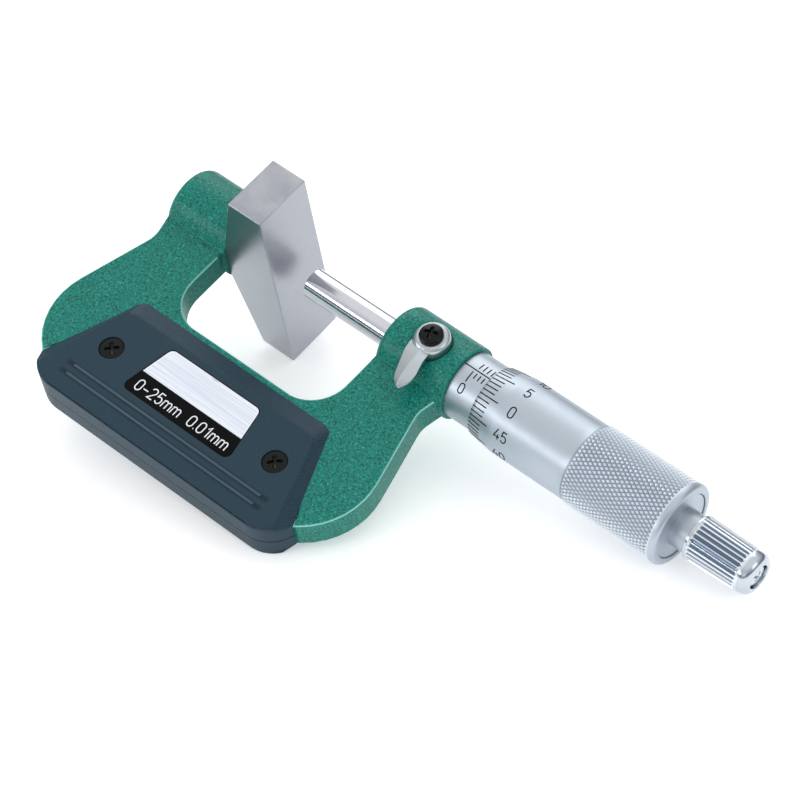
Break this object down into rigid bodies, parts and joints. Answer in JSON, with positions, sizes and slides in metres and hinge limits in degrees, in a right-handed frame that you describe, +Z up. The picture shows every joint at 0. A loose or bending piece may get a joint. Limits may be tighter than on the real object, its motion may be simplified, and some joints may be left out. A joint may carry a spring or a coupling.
{
  "type": "large anvil micrometer",
  "caption": "Outside micrometer with a U frame, a long rectangular anvil bar square to it, a graduated thimble with ratchet stop, a lever lock and insulating plates.",
  "frame": {"origin": "centre of the anvil's measuring face", "axes": "+X towards the ratchet along the length as it lies, +Y towards the spindle's open side, +Z up from the table; the spindle's axis slopes down by 9.4 degrees towards +X, because the instrument lies on the anvil's end, the thimble and the back of the rear plate"},
  "size_m": [0.1544, 0.0655, 0.0516],
  "materials": {
    "hammered_enamel": "hammered green enamel",
    "ground_steel": "ground",
    "lapped_steel": "lapped and polished",
    "satin_chrome": "satin chrome plate",
    "turned_steel": "turned",
    "cast_silver": "satin plated casting",
    "black_screws": "black oxide",
    "moulded_plate": "fine moulded grain",
    "label_foil": "brushed foil, lower half printed black",
    "soft_plug": "turned",
    "spring_wire": "drawn"
  },
  "bodies": {
    "frame": {"frame": "hammered_enamel", "anvil": "ground_steel", "lock_pad": "soft_plug", "inner_sleeve": "turned_steel", "adjusting_nut": "turned_steel", "front_plate": "moulded_plate", "rear_plate": "moulded_plate", "front_plate_screws": "black_screws", "rear_plate_screws": "black_screws", "range_label": "label_foil"},
    "sleeve": {"graduated_sleeve": "satin_chrome"},
    "spindle": {"spindle": "lapped_steel"},
    "thimble": {"thimble": "satin_chrome", "ratchet_base": "satin_chrome", "ratchet_washer": "turned_steel", "ratchet_screw": "turned_steel"},
    "knob": {"ratchet_knob": "satin_chrome"},
    "pawl": {"ratchet_pawl": "turned_steel", "ratchet_spring": "spring_wire"},
    "lock": {"lock_lever": "cast_silver", "lock_shaft": "turned_steel", "lock_screw": "black_screws"}
  },
  "joints": [
    {"name": "sleeve_zero_adjust", "type": "hinge", "parent": "frame", "child": "sleeve", "pos_m": [0.04764, 0, -0.00785], "axis": [0.9867, 0, -0.1627], "range_deg": [-10, 10]},
    {"name": "spindle_travel", "type": "slide", "parent": "frame", "child": "spindle", "axis": [0.9867, 0, -0.1627], "range_m": [-0.00404, 0.02096]},
    {"name": "thimble_turn", "type": "hinge", "parent": "spindle", "child": "thimble", "pos_m": [0.074, 0, -0.0122], "axis": [0.9867, 0, -0.1627], "range_deg": [-2906.74, 15093.46]},
    {"name": "ratchet_spin", "type": "hinge", "parent": "thimble", "child": "knob", "pos_m": [0.10854, 0, -0.01789], "axis": [0.9867, 0, -0.1627], "continuous": true},
    {"name": "pawl_lift", "type": "slide", "parent": "knob", "child": "pawl", "axis": [0.9867, 0, -0.1627], "range_m": [0, 0.0008], "stiffness_N_per_m": 300, "springref_m": -0.002, "deforming": ["ratchet_spring"]},
    {"name": "lock_swing", "type": "hinge", "parent": "frame", "child": "lock", "pos_m": [0.03803, -0.00188, 0.00014], "axis": [0.1559, -0.2854, 0.9456], "range_deg": [0, 35]}
  ],
  "couplings": [
    {"joint": "thimble_turn", "follows": "spindle_travel", "rad_per_m": 12566}
  ]
}
